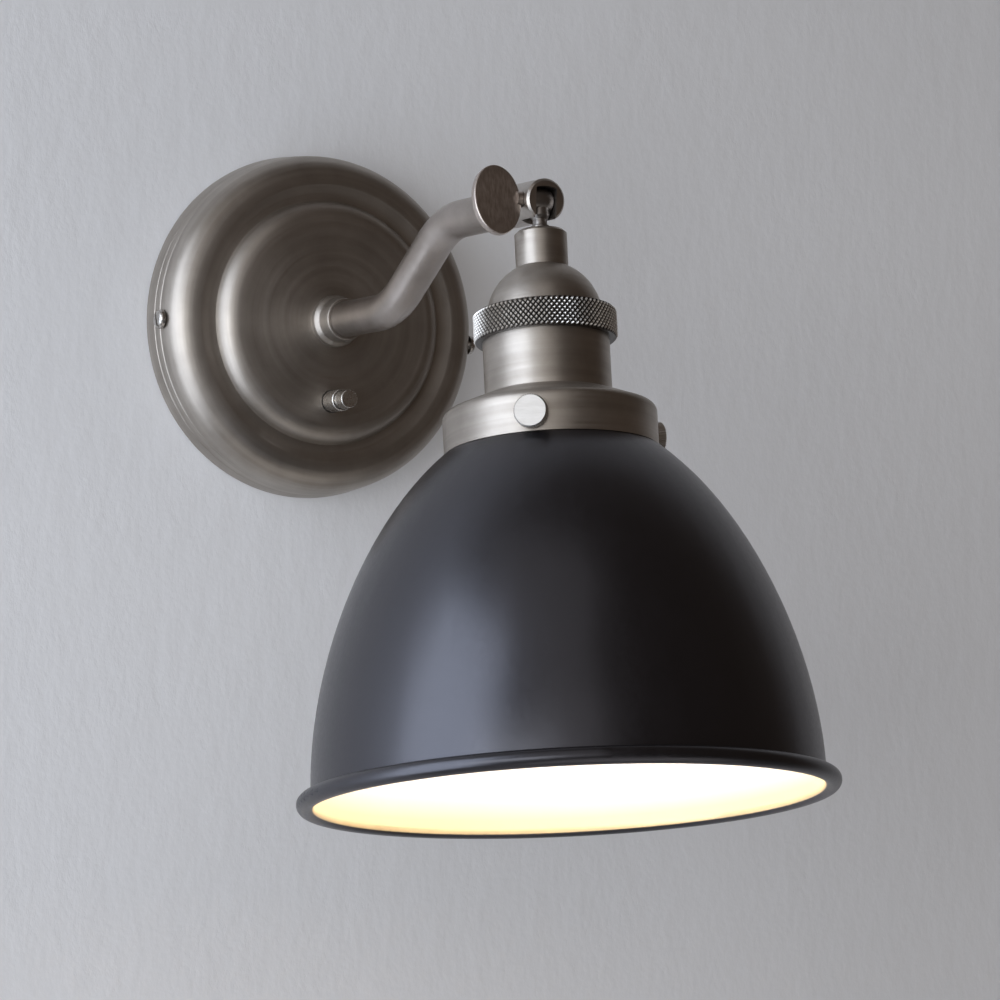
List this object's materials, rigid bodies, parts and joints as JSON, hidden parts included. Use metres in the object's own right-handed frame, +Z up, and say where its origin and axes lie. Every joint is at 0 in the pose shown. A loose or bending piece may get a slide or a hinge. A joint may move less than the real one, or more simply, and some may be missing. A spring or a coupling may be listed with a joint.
{
  "type": "bedside wall reading lamp",
  "caption": "Wall reading lamp with a round metal plate, push switch, cranked arm, clamped knuckle joint, knurled lampholder and a black bell shade.",
  "frame": {"origin": "centre of the round plate on the wall, midway between the bracket's two screw slots", "axes": "+Y into the wall, so the lamp stands out along -Y; +X right and +Z up, seen from the room"},
  "size_m": [0.1718, 0.2876, 0.2421],
  "materials": {
    "brushed": "satin",
    "black_paint": "satin",
    "zinc": "satin",
    "brass": "satin",
    "porcelain": "satin",
    "white_plastic": "satin",
    "black_plastic": "satin",
    "bulb": "gloss"
  },
  "bodies": {
    "base": {"backplate_cover": "brushed", "wall_bracket": "zinc", "side_screws": "brushed", "terminal_block": "white_plastic", "terminal_screws": "brass", "block_screw": "zinc", "earth_screw": "brass", "arm_collar": "brushed", "arm_tube": "brushed", "arm_nipple": "zinc", "arm_lock_washer": "zinc", "arm_locknut": "brass", "switch_body": "black_plastic", "switch_bush": "brushed", "switch_nut": "zinc", "knuckle_barrel": "brushed"},
    "button": {"switch_button": "brushed"},
    "thumb": {"thumb_screw": "brushed"},
    "head": {"swivel_tongue": "brushed", "neck_cap": "brushed", "head_nipple": "zinc", "lampholder_dome": "brushed", "knurled_ring": "brushed", "lampholder_sleeve": "brushed", "lampholder_body": "porcelain", "holder_terminals": "brass", "screw_shell": "brass", "centre_contact": "brass", "shade_gallery": "brushed", "clamp_ring": "white_plastic", "shade": "black_paint", "bulb_glass": "bulb", "bulb_cap": "zinc"},
    "screw_right": {"shade_screw_right": "brushed"},
    "screw_rear": {"shade_screw_rear": "brushed"},
    "screw_front": {"shade_screw_front": "brushed"}
  },
  "joints": [
    {"name": "head_tilt", "type": "hinge", "parent": "base", "child": "head", "pos_m": [0, -0.1724, 0.0266], "axis": [-1, 0, 0], "range_deg": [-14, 81]},
    {"name": "thumb_turn", "type": "hinge", "parent": "base", "child": "thumb", "pos_m": [0, -0.1724, 0.0266], "axis": [-1, 0, 0], "range_deg": [0, 180]},
    {"name": "button_press", "type": "slide", "parent": "base", "child": "button", "axis": [0, 1, 0], "range_m": [0, 0.0025], "stiffness_N_per_m": 600, "springref_m": -0.002},
    {"name": "screw_right_turn", "type": "hinge", "parent": "head", "child": "screw_right", "pos_m": [0.03408, -0.1899, -0.0494], "axis": [0.9877, -0.1545, 0.0245], "range_deg": [0, 270]},
    {"name": "screw_rear_turn", "type": "hinge", "parent": "head", "child": "screw_rear", "pos_m": [-0.01236, -0.15276, -0.05528], "axis": [-0.3584, 0.9221, -0.146], "range_deg": [0, 270]},
    {"name": "screw_front_turn", "type": "hinge", "parent": "head", "child": "screw_front", "pos_m": [-0.02171, -0.21105, -0.04605], "axis": [-0.6293, -0.7676, 0.1216], "range_deg": [0, 270]}
  ]
}
